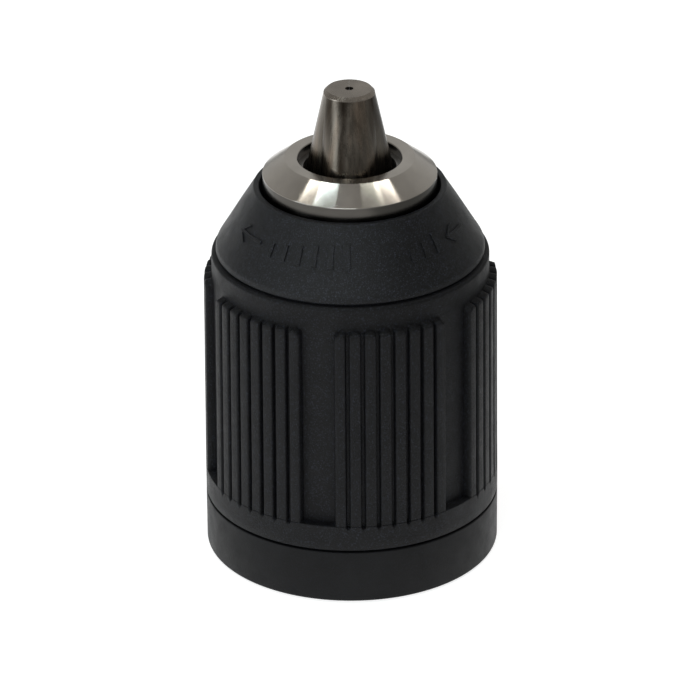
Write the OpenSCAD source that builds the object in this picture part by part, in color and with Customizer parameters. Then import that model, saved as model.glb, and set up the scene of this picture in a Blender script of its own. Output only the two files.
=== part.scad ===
// Keyless ratcheting drill chuck with one rotating sleeve and three inclined jaws.
// It stands on its rear face: the origin is the centre of that face and +Z points to the nose.

/* [Overall] */
// Outer diameter of the grip sleeve and of the rear cover
sleeve_d = 43; // [42.9:0.05:43.1]
// Height of the steel nose face above the rear face
nose_z = 61.2; // [61.1:0.05:61.3]
// Height of the closed jaw tips above the rear face
tip_z = 71.9; // [71.7:0.1:72.1]

/* [Jaws] */
// Angle between each jaw and the chuck's axis
jaw_tilt = 13.5; // [13.4:0.05:13.6]
// Radius of a round jaw blank
jaw_r = 4; // [3.9:0.05:4]
// Radius of the closed jaw cluster at its flat tips
tip_r = 3.55; // [3.5:0.05:3.6]
// Travel of a jaw in one turn of the nut
thread_pitch = 1.6; // [1.5:0.05:1.6]
// Turns of the nut between closed and fully open
nut_turns = 16; // [14:1:16]
// Radius of the relief where the three jaws meet
jaw_relief_r = 0.6; // [0.5:0.05:0.7]

/* [Bores] */
// Radius of the spindle thread's wall, 1/2 inch with 20 threads to the inch
spindle_r = 5.7; // [5.6:0.05:5.8]
// Depth of the spindle thread
spindle_depth = 17; // [15:0.5:17]
// Radius of the hole for the spindle's retaining screw
screw_r = 3.3; // [3.1:0.1:3.4]
// Radius of the tool bore
tool_r = 6.75; // [6.6:0.05:6.8]

/* [Grip] */
// Rib pads around the sleeve
pads = 6; // [6:2:6]
// Ribs on one pad
ribs = 8; // [6:1:8]
// Angle from one rib to the next
rib_pitch = 6; // [5.6:0.1:6]
// Angle that a groove between two ribs takes
groove_angle = 1.25; // [1:0.05:1.5]
// Angle of the first pad's centre
pad_turn = -73.5; // [-80:0.5:-70]

/* [Bearing] */
// Balls in the thrust bearing
balls = 30; // [24:2:30]
// Radius of one ball
ball_r = 0.8; // [0.75:0.05:0.8]
// Teeth of the ratchet
ratchet_teeth = 48; // [36:4:48]

/* [Hidden] */
$fn = 96;

// gaps: pieces pressed together, running fits, and open room between moving pieces
press_gap = 0.02;
run_gap = 0.06;
room = 0.3;
far = 100;

// colours
dark_plastic = "#1d1d1f";
satin_plastic = "#242528";
ground_steel = "#6b665f";
bright_steel = "#b9b2a8";
plain_steel = "#8d8d8d";
spring_steel = "#55585c";
brass_tone = "#a58a4a";
felt_grey = "#4a4a48";

// the sleeve and what it covers
sleeve_r = sleeve_d / 2;
sleeve_in_r = sleeve_r - 2.4;
skirt_in_r = sleeve_in_r - 1.15;

// the rear cover and the gap above it
cover_top = 8.05;
cover_floor = 2.2;
cover_edge = 0.4;
parting_gap = 0.3;
sleeve_bottom = cover_top + parting_gap;

// the body along its axis
hub_r = 13;
tail_r = 16.6;
flange_z = 22.8;
flange_r = 17.9;
race_z = 28.3;
neck_r = 15.3;
groove_z = 32.4;
groove_r = 11;
front_z = 40.7;
front_r = 14.3;
front_top = nose_z - 8.6;
front_edge = 0.8;
nose_stub_r = 10.5;
nose_stub_top = nose_z - 1.5;
web = 4;
tool_floor = spindle_depth + web;

// the jaws: the outer edge of a jaw runs from its tip down and outwards
jaw_travel = thread_pitch * nut_turns;
jaw_drop = jaw_travel * cos(jaw_tilt);
jaw_tail_z = 36.8;
jaw_gap = 0.005;
tail_bevel = 1;
tip_bevel = 0.3;
tooth_depth = 0.6;
tooth_top = 58.3;
function jaw_edge_r(z) = tip_r + (tip_z - z) * tan(jaw_tilt);
function jaw_axis_r(z) = jaw_edge_r(z) - jaw_r / cos(jaw_tilt);
jaw_bore_z = jaw_tail_z - jaw_drop - 0.6;

// the thrust bearing, stacked forwards from the flange
race_in_r = 15.5;
race_r = 17.6;
rim_r = 18.2;
race_t = 1;
ball_z = race_z + race_t + ball_r + press_gap;
ball_pitch_r = 16.5;
drive_race_z = ball_z + ball_r + press_gap;
drive_race_t = 1.16;
pawl_z = drive_race_z + drive_race_t;
pawl_t = 0.4;
nut_z = pawl_z + pawl_t + press_gap;
nut_top = 40.4;
nut_r = 16.5;
band_r = skirt_in_r - 0.45;
band_top = nut_top + 2;

// the drive between the sleeve and the nut
dogs = 3;
dog_angle = 18;
lock_angle = 8;
dog_play = 0.2;
dog_z = nut_top + 0.6;

// the nose cone
cone_z = 47;
cone_r = sleeve_r - 1.85;
cone_foot = 0.3;
cone_top = nose_z - 4.3;
cone_top_r = 13.85;
cone_bow = 0.08;
cone_steps = 6;
cone_bore_r = 12.9;
lip_r = 10.9;
lip_z = front_top + room;
lip_top = lip_z + 0.8;

// the steel nosepiece
ring_r = 12.6;
ring_z = lip_top + room;
band_z = nose_z - 2.4;
face_r = 9.4;
mouth_r = 7.5;
mouth_bevel = 0.15;

// the grip's outside
panel_r = sleeve_r - 1.3;
band_step_z = 12.3;
pad_foot_z = 12;
pad_top_z = 43.2;
pad_foot_r = sleeve_r - 0.02;
pad_head_r = sleeve_r - 0.2;
pad_root_r = panel_r - 0.3;
groove_root_r = sleeve_r - 0.8;
shoulder_z = 46.15;
shoulder_round = 0.5;
shoulder_r = sleeve_r - 1.35;
grip_top = cone_z - 0.3;
pad_angle = ribs * rib_pitch - groove_angle;

// points on a bowed line from p to q, the bow standing out to its right
function bowed(p, q, bow, steps) = [for (i = [0 : steps])
    let (t = i / steps, d = q - p, side = [d[1], -d[0]] / norm(d))
    p + d * t + side * bow * 4 * t * (1 - t)];

// points on a quarter round about c, from angle a to angle b
function round_edge(c, r, a, b, steps = 6) = [for (i = [0 : steps])
    c + r * [cos(a + (b - a) * i / steps), sin(a + (b - a) * i / steps)]];

module ring(r_out, r_in, z_low, z_high) {
    translate([0, 0, z_low]) difference() {
        cylinder(r = r_out, h = z_high - z_low);
        translate([0, 0, -1]) cylinder(r = r_in, h = z_high - z_low + 2);
    }
}

// part of a ring, centred on the angle turn
module arc_block(r_out, r_in, z_low, z_high, turn, angle) {
    rotate([0, 0, turn - angle / 2]) rotate_extrude(angle = angle)
        polygon([[r_in, z_low], [r_out, z_low], [r_out, z_high], [r_in, z_high]]);
}

module around(count, first = 0) {
    for (i = [0 : count - 1]) rotate([0, 0, first + i * 360 / count]) children();
}

// a round bar along a jaw's axis, from height z_low
module jaw_bar(r, z_low, length) {
    translate([jaw_axis_r(z_low), 0, z_low]) rotate([0, -jaw_tilt, 0]) cylinder(r = r, h = length);
}

module chuck_body() {
    outline = [[0, 0], [hub_r, 0], [hub_r, cover_floor + press_gap], [tail_r, cover_floor + press_gap],
        [tail_r, flange_z], [flange_r, flange_z], [flange_r, race_z], [neck_r, race_z],
        [neck_r, groove_z], [groove_r, groove_z], [groove_r, front_z], [front_r, front_z],
        [front_r, front_top - front_edge], [front_r - front_edge, front_top],
        [nose_stub_r, front_top], [nose_stub_r, nose_stub_top], [0, nose_stub_top]];
    color(plain_steel) difference() {
        rotate_extrude() polygon(outline);
        translate([0, 0, -1]) cylinder(r = spindle_r, h = spindle_depth + 1);
        translate([0, 0, spindle_depth - 1]) cylinder(r = screw_r, h = web + 2);
        translate([0, 0, tool_floor]) cylinder(r = tool_r, h = nose_z);
        around(3, -90) jaw_bar(jaw_r + run_gap, jaw_bore_z, nose_z);
    }
}

module nosepiece() {
    outline = [[nose_stub_r + press_gap, ring_z], [ring_r, ring_z], [ring_r, band_z], [face_r, nose_z],
        [mouth_r + mouth_bevel, nose_z], [mouth_r, nose_z - mouth_bevel],
        [mouth_r, nose_stub_top + press_gap], [nose_stub_r + press_gap, nose_stub_top + press_gap]];
    color(bright_steel) rotate_extrude() polygon(outline);
}

// rings of thread around the chuck's axis, which cut the jaw's outer side
module jaw_teeth() {
    rows = floor((tooth_top - jaw_tail_z) / thread_pitch);
    rotate_extrude() for (i = [0 : rows]) {
        z = jaw_tail_z + 1 + i * thread_pitch;
        polygon([[jaw_edge_r(z) - tooth_depth, z], [jaw_edge_r(z) + 1, z - thread_pitch * 0.9],
            [jaw_edge_r(z) + 1, z + thread_pitch * 0.9]]);
    }
}

module jaw(number) {
    color(ground_steel) rotate([0, 0, -90 + 120 * (number - 1)]) difference() {
        jaw_bar(jaw_r, jaw_tail_z, nose_z);
        translate([-far / 2, -far / 2, tip_z]) cube([far, far, far]);
        for (side = [0, 1]) mirror([0, side, 0]) rotate([0, 0, 60])
            translate([-far / 2, -jaw_gap / 2, 0]) cube([far, far, far]);
        translate([0, 0, nose_z / 2]) cylinder(r = jaw_relief_r, h = nose_z);
        jaw_teeth();
        rotate_extrude() polygon([[tip_r - tip_bevel, tip_z + 1], [tip_r - tip_bevel, tip_z],
            [tip_r + tip_bevel, tip_z - 2 * tip_bevel], [tip_r + 2, tip_z - 2 * tip_bevel], [tip_r + 2, tip_z + 1]]);
        translate([jaw_axis_r(jaw_tail_z), 0, jaw_tail_z]) rotate([0, -jaw_tilt, 0])
            difference() {
                translate([0, 0, -1]) cylinder(r = jaw_r + 1, h = tail_bevel + 1);
                translate([0, 0, -1]) cylinder(r1 = jaw_r - 2 * tail_bevel, r2 = jaw_r,
                    h = tail_bevel + 1);
            }
    }
}
module jaw_1() { jaw(1); }
module jaw_2() { jaw(2); }
module jaw_3() { jaw(3); }

// one half of the split nut, on the side that the angle turn points to
module nut_half(turn) {
    outline = [[jaw_edge_r(nut_z) + room / 2, nut_z], [nut_r, nut_z], [nut_r, nut_top],
        [jaw_edge_r(nut_top) + room / 2, nut_top]];
    color(plain_steel) difference() {
        rotate_extrude() polygon(outline);
        rotate([0, 0, turn]) translate([-far / 2, -far + press_gap / 2, 0]) cube([far, far, far]);
    }
}
module nut_half_1() { nut_half(0); }
module nut_half_2() { nut_half(180); }

module nut_band() {
    notch_angle = dog_angle + lock_angle + 2 * dog_play;
    color(spring_steel) difference() {
        ring(band_r, nut_r + press_gap, nut_z + room, band_top);
        around(dogs) arc_block(band_r + 1, nut_r - 1, dog_z - room, band_top + 1,
            -lock_angle / 2, notch_angle);
    }
}

module ratchet_race() {
    tooth = 360 / ratchet_teeth;
    saw = [for (i = [0 : ratchet_teeth - 1], edge = [0, 1])
        let (r = edge == 0 ? race_r : rim_r, a = tooth * (i + 0.9 * edge)) r * [cos(a), sin(a)]];
    color(plain_steel) translate([0, 0, race_z]) difference() {
        linear_extrude(race_t) polygon(saw);
        translate([0, 0, -1]) cylinder(r = race_in_r, h = race_t + 2);
    }
}

module ball_cage() {
    half = 0.3;
    play = 0.1;
    color(brass_tone) difference() {
        ring(race_r - 0.2, race_in_r + 0.1, ball_z - half, ball_z + half);
        around(balls) translate([ball_pitch_r, 0, ball_z - 1]) cylinder(r = ball_r - 0.02 + play, h = 2);
    }
}

module bearing_balls() {
    color(bright_steel) around(balls) translate([ball_pitch_r, 0, ball_z]) sphere(r = ball_r);
}

module drive_race() {
    color(plain_steel) ring(race_r, race_in_r + 0.1, drive_race_z, pawl_z - press_gap);
}

// a thin ring with two arms that reach back outside the ratchet's teeth
module pawl_spring() {
    arm_in_r = rim_r + 0.2;
    arm_r = arm_in_r + 0.3;
    arm_angle = 16;
    nose_angle = 3;
    color(spring_steel) union() {
        ring(rim_r, race_in_r + 0.1, pawl_z, pawl_z + pawl_t);
        around(2) {
            arc_block(arm_r, rim_r - 1, pawl_z, pawl_z + pawl_t, 0, arm_angle);
            arc_block(arm_r, arm_in_r, race_z + 0.2, pawl_z + pawl_t, 0, arm_angle);
            arc_block(arm_in_r + 0.1, rim_r + 0.08, race_z + 0.2, race_z + 0.8, 0, nose_angle);
        }
    }
}

module nose_cone() {
    foot = [cone_r, cone_z + cone_foot];
    rim = [cone_top_r, cone_top];
    flare = [cone_bore_r + room, cone_top];
    skirt_r = sleeve_in_r - press_gap;
    wall_in = [front_r + room, lip_z];
    outline = concat([[skirt_in_r, nut_z + 1], [skirt_r, nut_z + 1], [skirt_r, cone_z],
            [cone_r - cone_foot, cone_z]],
        bowed(foot, rim, cone_bow, cone_steps),
        [flare, [cone_bore_r, cone_top - 0.5], [cone_bore_r, lip_top], [lip_r, lip_top], [lip_r, lip_z],
            wall_in, [skirt_in_r, cone_z - 1]]);
    color(satin_plastic) union() {
        rotate_extrude() polygon(outline);
        around(dogs) arc_block(skirt_in_r + 0.4, nut_r + 0.2, dog_z, dog_z + 3, 0, dog_angle);
    }
}

// the raised pad, cut by straight grooves that run out at its foot
module rib_pad() {
    groove_w = 2 * sleeve_r * sin(groove_angle / 2);
    corner = 1.2;
    outline = [[pad_root_r, pad_foot_z], [pad_foot_r, pad_foot_z],
        [pad_head_r, pad_top_z - corner], [pad_head_r - 0.4, pad_top_z - 0.3],
        [pad_head_r - 0.9, pad_top_z], [pad_root_r, pad_top_z]];
    difference() {
        rotate([0, 0, -pad_angle / 2]) rotate_extrude(angle = pad_angle) polygon(outline);
        for (i = [1 : ribs - 1]) rotate([0, 0, (i - ribs / 2) * rib_pitch])
            translate([groove_root_r, -groove_w / 2, pad_foot_z + 0.2]) cube([far, groove_w, far]);
    }
}

module grip_sleeve() {
    edge = sleeve_r - 0.25;
    shoulder = shoulder_r - shoulder_round;
    outline = concat([[sleeve_in_r, sleeve_bottom], [edge, sleeve_bottom], [sleeve_r, sleeve_bottom + 0.25],
            [sleeve_r, pad_foot_z], [panel_r, band_step_z + 0.4], [panel_r, pad_top_z + 0.6],
            [shoulder_r, pad_top_z + 1]],
        round_edge([shoulder, shoulder_z], shoulder_round, 0, 80),
        [[sleeve_in_r, grip_top]]);
    color(dark_plastic) union() {
        rotate_extrude() polygon(outline);
        around(pads, pad_turn) rib_pad();
    }
}

// an open wire ring between the nut's band and the sleeve's skirt
module detent_spring() {
    color(spring_steel) arc_block(skirt_in_r - press_gap, band_r + 0.2, nut_z + 2, nut_z + 3, 90, 300);
}

module guide_ring() {
    color(felt_grey) ring(sleeve_in_r - 0.1, tail_r + press_gap, sleeve_bottom, jaw_bore_z - 1.1);
}

module rear_cover() {
    wall = 1.6;
    hub_wall = 1.2;
    outline = concat([[hub_r + press_gap, 0]],
        round_edge([sleeve_r - cover_edge, cover_edge], cover_edge, -90, 0),
        [[sleeve_r, cover_top - 0.2], [sleeve_r - 0.2, cover_top], [sleeve_r - wall, cover_top],
            [sleeve_r - wall, cover_floor], [tail_r + hub_wall, cover_floor],
            [tail_r + hub_wall, cover_top], [tail_r + press_gap, cover_top],
            [tail_r + press_gap, cover_floor], [hub_r + press_gap, cover_floor]]);
    color(dark_plastic) rotate_extrude() polygon(outline);
}

chuck_body();
nosepiece();
jaw_1();
jaw_2();
jaw_3();
nut_half_1();
nut_half_2();
nut_band();
ratchet_race();
ball_cage();
bearing_balls();
drive_race();
pawl_spring();
nose_cone();
grip_sleeve();
detent_spring();
guide_ring();
rear_cover();
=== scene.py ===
"""A keyless drill chuck: finely modelled outside pieces, and metal and plastic looks for the CAD frame."""
import math

import bpy
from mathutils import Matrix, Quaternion, Vector


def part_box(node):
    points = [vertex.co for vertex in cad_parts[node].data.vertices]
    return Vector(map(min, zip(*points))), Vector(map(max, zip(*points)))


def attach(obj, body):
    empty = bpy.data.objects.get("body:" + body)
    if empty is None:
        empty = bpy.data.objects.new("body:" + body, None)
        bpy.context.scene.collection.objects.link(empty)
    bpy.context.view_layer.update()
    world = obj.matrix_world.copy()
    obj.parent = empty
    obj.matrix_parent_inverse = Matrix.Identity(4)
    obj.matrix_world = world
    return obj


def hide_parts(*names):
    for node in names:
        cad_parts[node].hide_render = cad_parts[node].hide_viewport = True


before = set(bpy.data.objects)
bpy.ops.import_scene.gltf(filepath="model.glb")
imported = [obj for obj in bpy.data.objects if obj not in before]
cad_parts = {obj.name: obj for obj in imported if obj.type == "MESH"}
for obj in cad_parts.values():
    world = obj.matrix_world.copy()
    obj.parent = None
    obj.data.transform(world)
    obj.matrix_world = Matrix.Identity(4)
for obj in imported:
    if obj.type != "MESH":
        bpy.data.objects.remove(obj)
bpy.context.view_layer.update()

MM = 0.001
TURN = 2 * math.pi

# ---------------------------------------------------------------- sizes, in mm, read from the frame


def low_mm(node):
    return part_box(node)[0] / MM


def high_mm(node):
    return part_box(node)[1] / MM


SLEEVE_R = high_mm("rear_cover").x
COVER_TOP = high_mm("rear_cover").z
SLEEVE_LOW = low_mm("grip_sleeve").z
GRIP_TOP = high_mm("grip_sleeve").z
CONE_R = high_mm("nose_cone").x
CONE_TOP = high_mm("nose_cone").z
CONE_LOW = low_mm("nose_cone").z
RING_R = high_mm("nosepiece").x
RING_LOW = low_mm("nosepiece").z
NOSE_Z = high_mm("nosepiece").z
# Above this height the jaws get a painted highlight, lighter colour on their tips.
TIP_HIGHLIGHT_Z = high_mm("jaw_1").z - 0.62

SLEEVE_WALL = 2.4
SLEEVE_IN_R = SLEEVE_R - SLEEVE_WALL
SKIRT_WALL = 1.15
SKIRT_IN_R = SLEEVE_IN_R - SKIRT_WALL
MOUTH_R = 7.5
MOUTH_EDGE = 0.15
BAND_TOP = NOSE_Z - 2.4


# ---------------------------------------------------------------- mesh helpers


def quarter(t):
    """A quarter-round step from 0 to 1, steep at first."""
    t = min(max(t, 0.0), 1.0)
    return math.sqrt(1 - (1 - t) ** 2)


def finished(name, verts, faces, body, node, material, sharp=35):
    """Makes a smooth-shaded piece in the place of a CAD node."""
    mesh = bpy.data.meshes.new(name)
    mesh.from_pydata([Vector(v) * MM for v in verts], [], faces)
    mesh.update()
    mesh.polygons.foreach_set("use_smooth", [True] * len(mesh.polygons))
    mesh.set_sharp_from_angle(angle=math.radians(sharp))
    mesh.materials.append(material)
    piece = bpy.data.objects.new(name, mesh)
    bpy.context.collection.objects.link(piece)
    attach(piece, body)
    if node:
        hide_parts(node)
    return piece


def filleted(corners):
    """Points of a closed outline whose corners are (r, z, fillet radius)."""
    points = []
    steps = 5
    count = len(corners)
    for i, (r, z, fillet) in enumerate(corners):
        here = Vector((r, z))
        if not fillet:
            points.append(here)
            continue
        before = (Vector(corners[i - 1][:2]) - here).normalized()
        after = (Vector(corners[(i + 1) % count][:2]) - here).normalized()
        half = before.angle(after) / 2
        start = here + before * fillet / math.tan(half)
        centre = here + (before + after).normalized() * fillet / math.sin(half)
        first = start - centre
        sweep = math.pi - 2 * half
        if before.cross(after) < 0:
            sweep = -sweep
        for k in range(steps + 1):
            a = -sweep * k / steps
            turned = Vector((first.x * math.cos(a) - first.y * math.sin(a),
                             first.x * math.sin(a) + first.y * math.cos(a)))
            points.append(centre + turned)
    return points


def revolved(outline, turns=256):
    """Vertices and faces of a closed outline turned about the chuck's axis."""
    rows = len(outline)
    verts = []
    for i in range(turns):
        a = TURN * i / turns
        verts += [(p[0] * math.cos(a), p[0] * math.sin(a), p[1]) for p in outline]
    faces = []
    for i in range(turns):
        j = (i + 1) % turns
        for k in range(rows):
            m = (k + 1) % rows
            faces.append((i * rows + k, j * rows + k, j * rows + m, i * rows + m))
    return verts, faces


# ---------------------------------------------------------------- material helpers


def new_material(name):
    material = bpy.data.materials.new(name)
    material.use_nodes = True
    nodes = material.node_tree.nodes
    return material, nodes, material.node_tree.links, nodes["Principled BSDF"]


def object_coords(nodes, links, stretch=(1, 1, 1)):
    """Coordinates that stay on the piece, stretched along its axes."""
    coords = nodes.new("ShaderNodeTexCoord")
    mapping = nodes.new("ShaderNodeMapping")
    mapping.inputs["Scale"].default_value = stretch
    links.new(coords.outputs["Object"], mapping.inputs["Vector"])
    return mapping.outputs["Vector"]


def split_coords(nodes, links):
    """The x, y and z sockets of the piece's own coordinates."""
    split = nodes.new("ShaderNodeSeparateXYZ")
    links.new(object_coords(nodes, links), split.inputs["Vector"])
    return split.outputs["X"], split.outputs["Y"], split.outputs["Z"]


def noise(nodes, links, vector, scale, detail=4.0, rough=0.55):
    node = nodes.new("ShaderNodeTexNoise")
    node.inputs["Scale"].default_value = scale
    node.inputs["Detail"].default_value = detail
    node.inputs["Roughness"].default_value = rough
    links.new(vector, node.inputs["Vector"])
    return node.outputs["Fac"]


def ramp(nodes, links, fac, stops):
    node = nodes.new("ShaderNodeValToRGB")
    elements = node.color_ramp.elements
    while len(elements) < len(stops):
        elements.new(0.5)
    for element, (place, colour) in zip(elements, stops):
        element.position = place
        element.color = (*colour, 1) if isinstance(colour, tuple) else (colour, colour, colour, 1)
    links.new(fac, node.inputs["Fac"])
    return node.outputs["Color"]


def step(nodes, links, value, start, end, low=0.0, high=1.0, soft=False):
    """Goes from low to high as the value, in metres, goes from start to end."""
    node = nodes.new("ShaderNodeMapRange")
    node.interpolation_type = "SMOOTHSTEP" if soft else "LINEAR"
    node.inputs["From Min"].default_value = start
    node.inputs["From Max"].default_value = end
    node.inputs["To Min"].default_value = low
    node.inputs["To Max"].default_value = high
    links.new(value, node.inputs["Value"])
    return node.outputs["Result"]


def mixed(nodes, links, first, second, factor, blend="MIX"):
    """Mixes two colours. The second colour and the factor may be sockets or plain values."""
    node = nodes.new("ShaderNodeMix")
    node.data_type = "RGBA"
    node.blend_type = blend
    links.new(first, node.inputs["A"])
    for value, socket in ((second, node.inputs["B"]), (factor, node.inputs["Factor"])):
        if isinstance(value, bpy.types.NodeSocket):
            links.new(value, socket)
        else:
            socket.default_value = value
    return node.outputs["Result"]


def bumps(nodes, links, shader, heights):
    """Chains bump nodes, each (height socket, strength, depth in metres), into the shader's normal."""
    last = None
    for height, strength, depth in heights:
        node = nodes.new("ShaderNodeBump")
        node.inputs["Strength"].default_value = strength
        node.inputs["Distance"].default_value = depth
        links.new(height, node.inputs["Height"])
        if last:
            links.new(last, node.inputs["Normal"])
        last = node.outputs["Normal"]
    links.new(last, shader.inputs["Normal"])


def scaled(colour, factor):
    return tuple(c * factor for c in colour)


def stretch_gloss(nodes, links, shader, amount, rotation=0.0):
    """Makes the gloss anisotropic, with its tangent running round the chuck's axis."""
    shader.inputs["Anisotropic"].default_value = amount
    shader.inputs["Anisotropic Rotation"].default_value = rotation
    tangent = nodes.new("ShaderNodeTangent")
    tangent.direction_type = "RADIAL"
    tangent.axis = "Z"
    links.new(tangent.outputs["Tangent"], shader.inputs["Tangent"])


# ---------------------------------------------------------------- materials

EDGE_FADE = 0.1 * MM
SPECKS_PER_GRAIN = 1.2
SPECK_TINT = (0.8, 0.9, 1.25)
TURNED_STRETCH = 0.97
QUARTER_TURN = 0.25


def plastic(name, colour, rough, grain, depth, gloss=0.15, sparkle=0.0):
    """Moulded black plastic with a spark-eroded grain, faint mottling and a few lighter specks."""
    material, nodes, links, shader = new_material(name)
    place = object_coords(nodes, links)
    mottle = noise(nodes, links, place, scale=160, detail=5)
    tint = ramp(nodes, links, mottle, [(0.3, scaled(colour, 0.8)), (0.7, scaled(colour, 1.3))])
    if sparkle:
        specks = nodes.new("ShaderNodeTexVoronoi")
        specks.inputs["Scale"].default_value = grain * SPECKS_PER_GRAIN
        links.new(place, specks.inputs["Vector"])
        chosen = ramp(nodes, links, specks.outputs["Color"], [(0.66, 0.0), (0.94, 1.0)])
        tint = mixed(nodes, links, tint, (*scaled(SPECK_TINT, sparkle), 1), chosen)
    links.new(tint, shader.inputs["Base Color"])
    patches = noise(nodes, links, place, scale=420, detail=4)
    dull = ramp(nodes, links, patches, [(0.3, rough - 0.06), (0.75, rough + 0.08)])
    links.new(dull, shader.inputs["Roughness"])
    shader.inputs["Specular IOR Level"].default_value = gloss
    grains = noise(nodes, links, place, grain, detail=3, rough=0.7)
    bumps(nodes, links, shader, [(grains, 0.9, depth)])
    return material


def steel(name, colour, rough, stretch, streak, stretched=0.0, contrast=0.25, bands=0.0, tip_z=0.0):
    """Machined steel whose tool marks run along the axis that stretch flattens.

    bands is the scale of its broad lighter and darker bands, and above the height tip_z, in metres,
    it is painted lighter, a painted highlight on the tips.
    """
    material, nodes, links, shader = new_material(name)
    cloud = noise(nodes, links, object_coords(nodes, links), scale=140, detail=5)
    lines = noise(nodes, links, object_coords(nodes, links, stretch), streak, detail=3, rough=0.6)
    marks = [(0.25, scaled(colour, 1 - contrast)), (0.75, scaled(colour, 1 + contrast))]
    stains = ramp(nodes, links, cloud, [(0.3, (0.72, 0.68, 0.64)), (0.65, 1.0)])
    shade = mixed(nodes, links, ramp(nodes, links, lines, marks), stains, 0.6, "MULTIPLY")
    if bands:
        broad = noise(nodes, links, object_coords(nodes, links, (1, 1, 0.05)), bands, detail=2, rough=0.5)
        tones = [(0.36, (0.28, 0.25, 0.22)), (0.50, (0.85, 0.86, 0.84)), (0.64, (1.25, 1.15, 1.05))]
        shade = mixed(nodes, links, shade, ramp(nodes, links, broad, tones), 1.0, "MULTIPLY")
    if tip_z:
        # Painted highlight: above tip_z the colour is made lighter.
        height = split_coords(nodes, links)[2]
        tip_highlight = ramp(nodes, links, cloud, [(0.3, scaled(colour, 1.4)), (0.7, scaled(colour, 2.4))])
        shade = mixed(nodes, links, shade, tip_highlight, step(nodes, links, height, tip_z, tip_z + EDGE_FADE))
    links.new(shade, shader.inputs["Base Color"])
    dull = ramp(nodes, links, lines, [(0.3, rough - 0.06), (0.8, rough + 0.1)])
    links.new(dull, shader.inputs["Roughness"])
    shader.inputs["Metallic"].default_value = 1.0
    bumps(nodes, links, shader, [(lines, 0.4, 0.004 * MM), (cloud, 0.15, 0.012 * MM)])
    if stretched:
        stretch_gloss(nodes, links, shader, stretched)
    return material


def turned_steel(name, colour, rough, edge_z, bore_r):
    """Lathe-turned steel whose grooves draw reflections out along the radius.

    It is darkened with painted shade below the height edge_z, which dulls the band's reflection of the
    bright floor, and inside the radius bore_r, in the mouth, both in metres.
    """
    material, nodes, links, shader = new_material(name)
    x, y, z = split_coords(nodes, links)
    flat = nodes.new("ShaderNodeCombineXYZ")
    links.new(x, flat.inputs["X"])
    links.new(y, flat.inputs["Y"])
    radius = nodes.new("ShaderNodeVectorMath")
    radius.operation = "LENGTH"
    links.new(flat.outputs["Vector"], radius.inputs[0])
    across = nodes.new("ShaderNodeCombineXYZ")
    links.new(radius.outputs["Value"], across.inputs["X"])
    links.new(z, across.inputs["Z"])
    grooves = noise(nodes, links, across.outputs["Vector"], scale=9000, detail=2, rough=0.6)
    wear = noise(nodes, links, object_coords(nodes, links), scale=300, detail=5)
    shade = ramp(nodes, links, wear, [(0.3, scaled(colour, 0.93)), (0.7, scaled(colour, 1.06))])
    # Painted shade: below edge_z the colour is darkened so the band does not mirror the bright floor.
    below = step(nodes, links, z, edge_z - EDGE_FADE, edge_z, low=0.16)
    # Painted shade: inside bore_r, in the mouth, the colour is darkened.
    inside = step(nodes, links, radius.outputs["Value"], bore_r - EDGE_FADE, bore_r, low=0.25)
    shade = mixed(nodes, links, shade, below, 1.0, "MULTIPLY")
    shade = mixed(nodes, links, shade, inside, 1.0, "MULTIPLY")
    links.new(shade, shader.inputs["Base Color"])
    dull = ramp(nodes, links, grooves, [(0.3, rough - 0.01), (0.75, rough + 0.02)])
    links.new(dull, shader.inputs["Roughness"])
    shader.inputs["Metallic"].default_value = 1.0
    stretch_gloss(nodes, links, shader, TURNED_STRETCH, rotation=QUARTER_TURN)
    bumps(nodes, links, shader, [(grooves, 0.1, 0.002 * MM)])
    return material


BLACK = (0.0050, 0.0050, 0.0055)
COOL_BLACK = (0.0050, 0.0054, 0.0060)
# Inside this radius the nosepiece's mouth gets painted shade.
MOUTH_SHADE_R = MOUTH_R + 0.11
GRIP_PLASTIC = plastic("grip_plastic", BLACK, rough=0.47, grain=5200, depth=0.09 * MM, sparkle=0.022)
COVER_PLASTIC = plastic("cover_plastic", BLACK, rough=0.48, grain=5200, depth=0.04 * MM, sparkle=0.008)
CONE_PLASTIC = plastic("cone_plastic", COOL_BLACK, rough=0.38, grain=6500, depth=0.08 * MM,
                       gloss=0.24, sparkle=0.036)
GUIDE_PLASTIC = plastic("guide_plastic", (0.22, 0.22, 0.21), rough=0.5, grain=3000, depth=0.02 * MM)
# The nosepiece gets painted shade on its band and inside its mouth.
NOSE_STEEL = turned_steel("nose_steel", (0.53, 0.495, 0.45), rough=0.15,
                          edge_z=BAND_TOP * MM, bore_r=MOUTH_SHADE_R * MM)
JAW_STEEL = steel("jaw_steel", (0.168, 0.149, 0.130), rough=0.27, stretch=(1, 1, 0.02), streak=1500,
                  bands=330, tip_z=TIP_HIGHLIGHT_Z * MM)
BODY_STEEL = steel("body_steel", (0.42, 0.41, 0.40), rough=0.36, stretch=(0.3, 0.3, 4), streak=700,
                   stretched=0.4)
NUT_STEEL = steel("nut_steel", (0.40, 0.40, 0.40), rough=0.34, stretch=(0.3, 0.3, 4), streak=700)
SPRING_STEEL = steel("spring_steel", (0.15, 0.165, 0.20), rough=0.30, stretch=(0.4, 0.4, 3), streak=600)
BEARING_STEEL = steel("bearing_steel", (0.62, 0.62, 0.62), rough=0.14, stretch=(0.4, 0.4, 3), streak=600,
                      contrast=0.08)
CAGE_BRASS = steel("cage_brass", (0.62, 0.46, 0.20), rough=0.30, stretch=(0.5, 0.5, 2), streak=500)

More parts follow.
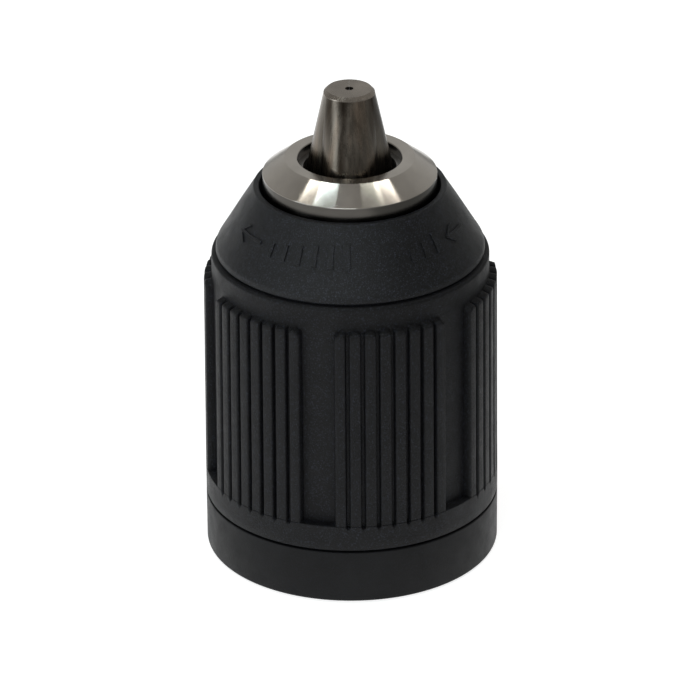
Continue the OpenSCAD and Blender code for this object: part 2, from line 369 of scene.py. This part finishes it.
CAD_LOOKS = {
    "chuck_body": BODY_STEEL, "jaw_1": JAW_STEEL, "jaw_2": JAW_STEEL, "jaw_3": JAW_STEEL,
    "nut_half_1": NUT_STEEL, "nut_half_2": NUT_STEEL, "nut_band": SPRING_STEEL,
    "ratchet_race": BEARING_STEEL, "drive_race": BEARING_STEEL, "bearing_balls": BEARING_STEEL,
    "ball_cage": CAGE_BRASS, "pawl_spring": SPRING_STEEL, "detent_spring": SPRING_STEEL,
    "guide_ring": GUIDE_PLASTIC,
}
for node_name, look in CAD_LOOKS.items():
    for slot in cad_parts[node_name].material_slots:
        slot.material = look

# ---------------------------------------------------------------- the rear cover

COVER_WALL = 1.6
COVER_FLOOR = 2.2
HUB_R = 13.02
LEDGE_IN_R = 16.62
LEDGE_R = LEDGE_IN_R + 1.2


def rear_cover():
    outline = filleted([
        (HUB_R, 0, 0.1), (SLEEVE_R, 0, 0.45), (SLEEVE_R, COVER_TOP, 0.18),
        (SLEEVE_R - COVER_WALL, COVER_TOP, 0.15), (SLEEVE_R - COVER_WALL, COVER_FLOOR, 0),
        (LEDGE_R, COVER_FLOOR, 0), (LEDGE_R, COVER_TOP, 0), (LEDGE_IN_R, COVER_TOP, 0),
        (LEDGE_IN_R, COVER_FLOOR, 0), (HUB_R, COVER_FLOOR, 0)])
    piece = finished("rear_cover_moulded", *revolved(outline), "body", "rear_cover", COVER_PLASTIC)


# ---------------------------------------------------------------- the grip sleeve and its rib pads

PANEL_R = SLEEVE_R - 1.3
STEP_Z = SLEEVE_LOW + 3.95
PAD_TOP = GRIP_TOP - 3.5
PAD_HEAD_R = SLEEVE_R - 0.2
SHOULDER_R = SLEEVE_R - 1.35
SHOULDER_ROUND = 0.5
SHOULDER_Z = GRIP_TOP - 0.55
PADS = 6
RIBS = 8
RIB_PITCH = math.radians(6)
GROOVE_HALF = 0.22
GROOVE_DEPTH = 0.75
PAD_HALF = math.radians(23.375)
PAD_TURN = math.radians(-73.5)
PAD_CORNER = 1.3
EDGE_ROUND = 0.3
GROOVE_ROUND = 0.22
GROOVE_TOP = PAD_TOP - 0.45
GROOVE_FOOT = STEP_Z - 0.1
END_SLOPE = 0.9
FOOT_FADE = 4
SCALLOP = 0.3
CROWN = 0.05
STEP_LEAD = 0.6
FOOT_ROUND = 0.2
ROW_GAP = 2.5
HEAD_ROWS_Z = PAD_TOP - 2.2
HEAD_ROW_GAP = 0.3
ROUNDED_ROWS_Z = PAD_TOP - 1.1
ROUNDED_ROW_GAP = 0.08
END_RISE = 0.55
# Where the mesh has its rows and columns, in mm from the step, a groove's middle and a pad's side.
BELOW_STEP = (2.5, 1.1, 0.6, 0.4, 0.3, 0.25, 0.2, 0.14, 0.08)
ABOVE_STEP = (0.1, 0.3, 0.9)
FROM_GROOVE = (0, 0.12, 0.2, 0.225, 0.25, 0.29, 0.35, 0.44, 0.6)
FROM_PAD_EDGE = (-0.02, 0, 0.02, 0.06, 0.12, 0.2, 0.3, 0.5, 0.9)


def pad_inset(u, z):
    """How far, in mm, a point lies inside a pad's outline, which has two rounded top corners."""
    side = PAD_HALF * SLEEVE_R - abs(u)
    pitch = RIB_PITCH * SLEEVE_R
    dip = SCALLOP * math.cos(math.pi * u / pitch) ** 2 if abs(u) < (RIBS - 1) / 2 * pitch else 0
    top = PAD_TOP - dip - z
    if side < PAD_CORNER and top < PAD_CORNER:
        return PAD_CORNER - math.hypot(PAD_CORNER - side, PAD_CORNER - top)
    return min(side, top)


def groove_cut(u, z):
    """How deep, from 0 to 1, the nearest groove cuts at a point of a pad."""
    pitch = RIB_PITCH * SLEEVE_R
    nearest = round(u / pitch)
    if abs(nearest) > RIBS / 2 - 1:
        return 0.0
    away = abs(u - nearest * pitch)
    beyond = max(z - GROOVE_TOP, GROOVE_FOOT - z, 0.0)
    away = math.hypot(away, beyond)
    return 1 - quarter((away - GROOVE_HALF) / GROOVE_ROUND) if away > GROOVE_HALF else 1.0


def grip_radius(a, z, plain):
    """Outer radius of the grip at an angle and height, where plain is the barrel's own radius."""
    turn = TURN / PADS
    local = (a - PAD_TURN + turn / 2) % turn - turn / 2
    u = local * SLEEVE_R
    inset = pad_inset(u, z)
    if inset <= 0 or z < STEP_Z - STEP_LEAD:
        return plain
    head = PAD_HEAD_R + (SLEEVE_R - PAD_HEAD_R) * (PAD_TOP - z) / (PAD_TOP - STEP_Z)
    rise = quarter(inset / EDGE_ROUND)
    end = END_RISE + (1 - END_RISE) * quarter((PAD_TOP - z) / END_SLOPE)
    fade = min(1, max(0, z - STEP_Z) / FOOT_FADE)
    crown = CROWN * fade * math.cos(math.pi * u / (RIB_PITCH * SLEEVE_R)) ** 2
    raised = PANEL_R + (head - PANEL_R) * rise * end - crown
    raised -= GROOVE_DEPTH * groove_cut(u, z)
    return max(plain, raised) if z > STEP_Z else plain - GROOVE_DEPTH * groove_cut(u, z)


def grip_angles():
    """Angles of the grip's columns, close together at every rib's edges."""
    turn = TURN / PADS
    found = set()
    for pad in range(PADS):
        centre = PAD_TURN + pad * turn
        for i in range(1 - RIBS // 2, RIBS // 2):
            for side in (-1, 1):
                found |= {round(centre + i * RIB_PITCH + side * o / SLEEVE_R, 6) for o in FROM_GROOVE}
        for i in range(-RIBS, RIBS + 1):
            found.add(round(centre + i * RIB_PITCH / 2, 6))
        for side in (-1, 1):
            found |= {round(centre + side * (PAD_HALF - o / SLEEVE_R), 6) for o in FROM_PAD_EDGE}
        for k in (0.25, 0.5, 0.75):
            found.add(round(centre + PAD_HALF + k * (turn - 2 * PAD_HALF), 6))
    return sorted(found)


def grip_rows():
    """Radius and height of the barrel's outside, upwards, before its pads are raised."""
    rows = [(SLEEVE_R - FOOT_ROUND, SLEEVE_LOW)]
    rows += [(SLEEVE_R - 0.06, SLEEVE_LOW + 0.06), (SLEEVE_R, SLEEVE_LOW + FOOT_ROUND)]
    rows += [(SLEEVE_R, STEP_Z - down) for down in BELOW_STEP]
    rows += [(SLEEVE_R - 0.03, STEP_Z - 0.03), (SLEEVE_R - 0.1, STEP_Z), (PANEL_R + 0.1, STEP_Z + 0.05)]
    rows += [(PANEL_R, STEP_Z + up) for up in ABOVE_STEP]
    rows += [(PANEL_R, STEP_Z + ROW_GAP * k) for k in range(1, 12)]
    rows += [(PANEL_R, HEAD_ROWS_Z + HEAD_ROW_GAP * k) for k in range(4)]
    rows += [(PANEL_R, ROUNDED_ROWS_Z + ROUNDED_ROW_GAP * k) for k in range(15)]
    rows += [(SHOULDER_R, PAD_TOP + 0.5), (SHOULDER_R, PAD_TOP + 1.8)]
    centre = Vector((SHOULDER_R - SHOULDER_ROUND, SHOULDER_Z))
    for k in range(9):
        a = math.radians(80 * k / 8)
        rows.append((centre.x + SHOULDER_ROUND * math.cos(a), centre.y + SHOULDER_ROUND * math.sin(a)))
    return rows


def grip_sleeve():
    angles = grip_angles()
    rows = grip_rows()
    inner = [(SLEEVE_IN_R, GRIP_TOP), (SLEEVE_IN_R, SLEEVE_LOW)]
    count = len(rows) + len(inner)
    verts = []
    for a in angles:
        for plain, z in rows:
            r = grip_radius(a, z, plain)
            verts.append((r * math.cos(a), r * math.sin(a), z))
        verts += [(r * math.cos(a), r * math.sin(a), z) for r, z in inner]
    faces = []
    for i in range(len(angles)):
        j = (i + 1) % len(angles)
        for k in range(count):
            m = (k + 1) % count
            faces.append((i * count + k, j * count + k, j * count + m, i * count + m))
    piece = finished("grip_sleeve_moulded", verts, faces, "sleeve", "grip_sleeve", GRIP_PLASTIC, sharp=50)


# ---------------------------------------------------------------- the nose cone and its turning marks

CONE_FOOT = GRIP_TOP + 0.3
CONE_RIM_R = 13.85
CONE_RIM_Z = NOSE_Z - 4.3
CONE_BOW = 0.08
CONE_BORE_R = 12.9
CONE_SKIRT_R = SLEEVE_IN_R - 0.02
CONE_HEEL_R = CONE_R - 0.15
LIP_R = 10.9
LIP_ROOT_R = 14.6
LIP_TOP = RING_LOW - 0.3
LIP_LOW = LIP_TOP - 0.8
CONE_STEPS = 24
MARK_HEIGHT = 0.2
MARK_ROOT = 0.3
# Places up the cone run from 0 to 1, and lengths round it are in degrees.
BAR_FOOT = 0.42
BAR_GAP = 8
ARROW_MIDDLE = 0.55
ARROW_STEPS = 6
SHAFT_HALF = 0.022
HEAD_LENGTH = 6
HEAD_SPREAD = 0.12
HEAD_STROKE = 2.2


def cone_point(t):
    """Radius and height on the cone's bowed side, from its foot (0) to its rim (1)."""
    low = Vector((CONE_R, CONE_FOOT + 0.3))
    rim = Vector((CONE_RIM_R, CONE_RIM_Z))
    run = rim - low
    side = Vector((run.y, -run.x)).normalized()
    return low + run * t + side * CONE_BOW * 4 * t * (1 - t), side


def nose_cone():
    foot = filleted([
        (CONE_SKIRT_R, CONE_LOW, 0), (CONE_SKIRT_R, CONE_FOOT, 0),
        (CONE_HEEL_R, CONE_FOOT, 0.1), (CONE_HEEL_R, CONE_FOOT + 0.7, 1.6),
        (*cone_point(0.3)[0], 0)])
    side = [cone_point(k / CONE_STEPS)[0] for k in range(CONE_STEPS // 3, CONE_STEPS)]
    # The first corner only gives the rim's fillet its direction, so it is left out afterwards.
    rim = filleted([
        (CONE_R, CONE_FOOT + 5, 0), (CONE_RIM_R, CONE_RIM_Z, 0.3), (CONE_BORE_R + 0.25, CONE_TOP, 0.15),
        (CONE_BORE_R, CONE_TOP - 0.5, 0), (CONE_BORE_R, LIP_TOP, 0), (LIP_R, LIP_TOP, 0),
        (LIP_R, LIP_LOW, 0), (LIP_ROOT_R, LIP_LOW, 0), (SKIRT_IN_R, CONE_FOOT - 1, 0),
        (SKIRT_IN_R, CONE_LOW, 0)])[1:]
    shell = revolved(foot + side + rim)
    piece = finished("nose_cone_moulded", *shell, "sleeve", "nose_cone", CONE_PLASTIC)


def mark(name, strokes):
    """Raised marks on the cone, each a closed outline of (angle in degrees, place up the cone)."""
    verts, faces = [], []
    for outline in strokes:
        first = len(verts)
        for lift in (-MARK_ROOT, MARK_HEIGHT):
            for angle, t in outline:
                (r, z), side = cone_point(t)
                r, z = r + side.x * lift, z + side.y * lift
                a = math.radians(angle - 90)
                verts.append((r * math.cos(a), r * math.sin(a), z))
        n = len(outline)
        faces.append(tuple(range(first + n - 1, first - 1, -1)))
        faces.append(tuple(range(first + n, first + 2 * n)))
        for k in range(n):
            m = (k + 1) % n
            faces.append((first + k, first + m, first + n + m, first + n + k))
    piece = finished(name, verts, faces, "sleeve", None, CONE_PLASTIC)
    bevel = piece.modifiers.new("soft_edges", "BEVEL")
    bevel.width = 0.05 * MM
    bevel.segments = 2


def bar(angle, low, high, half):
    """An upright bar with its foot at low and its head at high, both places up the cone."""
    return [(angle - half, low), (angle + half, low), (angle + half, high), (angle - half, high)]


def arrow(tail, tip):
    """Three pieces of a curved arrow that runs round the cone: its shaft and the two sides of its head."""
    way = 1 if tip > tail else -1
    middle = ARROW_MIDDLE
    half = SHAFT_HALF * way
    run = [tail + (tip - tail) * k / ARROW_STEPS for k in range(ARROW_STEPS + 1)]
    shaft = [(a, middle - half) for a in run] + [(a, middle + half) for a in reversed(run)]
    back = tip - way * HEAD_LENGTH
    stroke = way * HEAD_STROKE
    sides = []
    for up in (-1, 1):
        far = middle + up * HEAD_SPREAD
        outline = [(tip, middle), (back, far), (back + stroke, far), (tip + stroke, middle)]
        sides.append(outline if up * way > 0 else outline[::-1])
    return [shaft] + sides


def turning_marks():
    """A row of shrinking bars for release and a row of growing bars for grip, each with its arrow."""
    open_bars = [bar(-2 - BAR_GAP * k, BAR_FOOT, 0.76 - 0.03 * k, 1.9 - 0.22 * k) for k in range(6)]
    shut_bars = [bar(24 + BAR_GAP * k, BAR_FOOT, 0.52 + 0.06 * k, 0.9 + 0.25 * k) for k in range(4)]
    mark("mark_release", open_bars + arrow(-50, -68))
    mark("mark_grip", shut_bars + arrow(72, 58))


# ---------------------------------------------------------------- the steel nosepiece

FACE_R = 9.4
STUB_R = 10.52
STUB_TOP = NOSE_Z - 1.48


def nosepiece():
    outline = filleted([
        (STUB_R, RING_LOW, 0), (RING_R, RING_LOW, 0.15), (RING_R, BAND_TOP, 0.12), (FACE_R, NOSE_Z, 0.1),
        (MOUTH_R + MOUTH_EDGE, NOSE_Z, 0.05), (MOUTH_R, NOSE_Z - MOUTH_EDGE, 0.05),
        (MOUTH_R, STUB_TOP, 0), (STUB_R, STUB_TOP, 0)])
    piece = finished("nosepiece_turned", *revolved(outline), "body", "nosepiece", NOSE_STEEL, sharp=25)


rear_cover()
grip_sleeve()
nose_cone()
turning_marks()
nosepiece()

# ---------------------------------------------------------------- floor, lights and camera

# Lengths in metres. The sheet glows inside GLOW_R, and right of RIGHT_DARK a share of the glow is left.
FLOOR_HALF = 3.0
FLOOR_DROP = 0.0002
GLOW = 0.78
FAR_GLOW = 0.08
GLOW_R = 0.22
FAR_R = 0.42
RIGHT_EDGE = 0.062
RIGHT_DARK = 0.085
RIGHT_SHARE = 0.1
WINDOW_REACH = 0.60
PANEL_REACH = 0.90


def floor():
    """A pale sheet that glows around the chuck, dims further out and is dark on the right."""
    material, nodes, links, shader = new_material("pale_floor")
    shader.inputs["Base Color"].default_value = (0.6, 0.6, 0.6, 1)
    shader.inputs["Roughness"].default_value = 0.8
    shader.inputs["Specular IOR Level"].default_value = 0.1
    shader.inputs["Emission Color"].default_value = (1, 1, 1, 1)
    away = nodes.new("ShaderNodeVectorMath")
    away.operation = "LENGTH"
    links.new(object_coords(nodes, links), away.inputs[0])
    around = step(nodes, links, away.outputs["Value"], GLOW_R, FAR_R, low=GLOW, high=FAR_GLOW, soft=True)
    right = split_coords(nodes, links)[0]
    lit = step(nodes, links, right, RIGHT_EDGE, RIGHT_DARK, low=1.0, high=RIGHT_SHARE, soft=True)
    glow = nodes.new("ShaderNodeMath")
    glow.operation = "MULTIPLY"
    links.new(around, glow.inputs[0])
    links.new(lit, glow.inputs[1])
    links.new(glow.outputs["Value"], shader.inputs["Emission Strength"])
    half = FLOOR_HALF
    corners = [(-half, -half, 0), (half, -half, 0), (half, half, 0), (-half, half, 0)]
    mesh = bpy.data.meshes.new("floor")
    mesh.from_pydata(corners, [], [(0, 1, 2, 3)])
    mesh.materials.append(material)
    plane = bpy.data.objects.new("floor", mesh)
    bpy.context.collection.objects.link(plane)
    plane.location.z = -FLOOR_DROP


def softbox(name, way, reach, size, power, colour):
    """A soft light that hangs at a distance along a direction from the chuck's nose and faces it."""
    aim = Vector((0, 0, NOSE_Z * MM))
    place = aim + Vector(way).normalized() * reach
    light = bpy.data.lights.new(name, "AREA")
    light.shape = "RECTANGLE"
    light.size, light.size_y = size
    light.energy = power
    light.color = colour
    lamp = bpy.data.objects.new(name, light)
    lamp.location = place
    lamp.rotation_euler = (aim - place).to_track_quat("-Z", "Y").to_euler()
    bpy.context.collection.objects.link(lamp)


def room():
    """A dim warm room, lighter towards the back."""
    world = bpy.data.worlds.new("room")
    world.use_nodes = True
    nodes, links = world.node_tree.nodes, world.node_tree.links
    coords = nodes.new("ShaderNodeTexCoord")
    split = nodes.new("ShaderNodeSeparateXYZ")
    links.new(coords.outputs["Generated"], split.inputs["Vector"])
    shade = ramp(nodes, links, split.outputs["Y"], [(0.1, (0.26, 0.255, 0.245)), (0.9, (0.44, 0.44, 0.43))])
    links.new(shade, nodes["Background"].inputs["Color"])
    nodes["Background"].inputs["Strength"].default_value = 1.0
    bpy.context.scene.world = world


def surroundings():
    room()
    bpy.context.scene.view_settings.view_transform = "Standard"
    softbox("window_left", (-0.434, 0.143, 0.891), WINDOW_REACH, size=(0.060, 0.16),
            power=0.28, colour=(1.0, 0.97, 0.88))
    softbox("window_cool", (-0.285, 0.030, 0.955), WINDOW_REACH, size=(0.036, 0.16),
            power=0.38, colour=(0.80, 0.96, 1.0))
    softbox("window_dim", (0.270, 0.020, 0.963), WINDOW_REACH, size=(0.050, 0.16),
            power=0.10, colour=(0.95, 1.0, 0.92))
    softbox("window_right", (0.425, 0.130, 0.895), WINDOW_REACH, size=(0.075, 0.16),
            power=0.28, colour=(1.0, 0.95, 0.88))
    softbox("side_left", (-0.90, -0.45, 0.08), PANEL_REACH, size=(0.35, 0.50),
            power=2.0, colour=(0.88, 0.95, 1.0))
    softbox("front", (-0.15, -0.80, 0.60), PANEL_REACH, size=(0.50, 0.30),
            power=2.5, colour=(0.90, 0.97, 1.0))


def camera():
    elevation = math.radians(26.5)
    roll = math.radians(0.4)
    distance = 0.799
    aim = Vector((-0.00015, 0, 0.03015))
    data = bpy.data.cameras.new("camera")
    data.sensor_width = 36
    data.lens = 281
    data.clip_start = 0.05
    eye = bpy.data.objects.new("camera", data)
    back = Vector((0, -math.cos(elevation), math.sin(elevation)))
    eye.location = aim + back * distance
    eye.rotation_euler = ((-back).to_track_quat("-Z", "Y") @ Quaternion((0, 0, 1), -roll)).to_euler()
    bpy.context.collection.objects.link(eye)
    bpy.context.scene.camera = eye


floor()
surroundings()
camera()
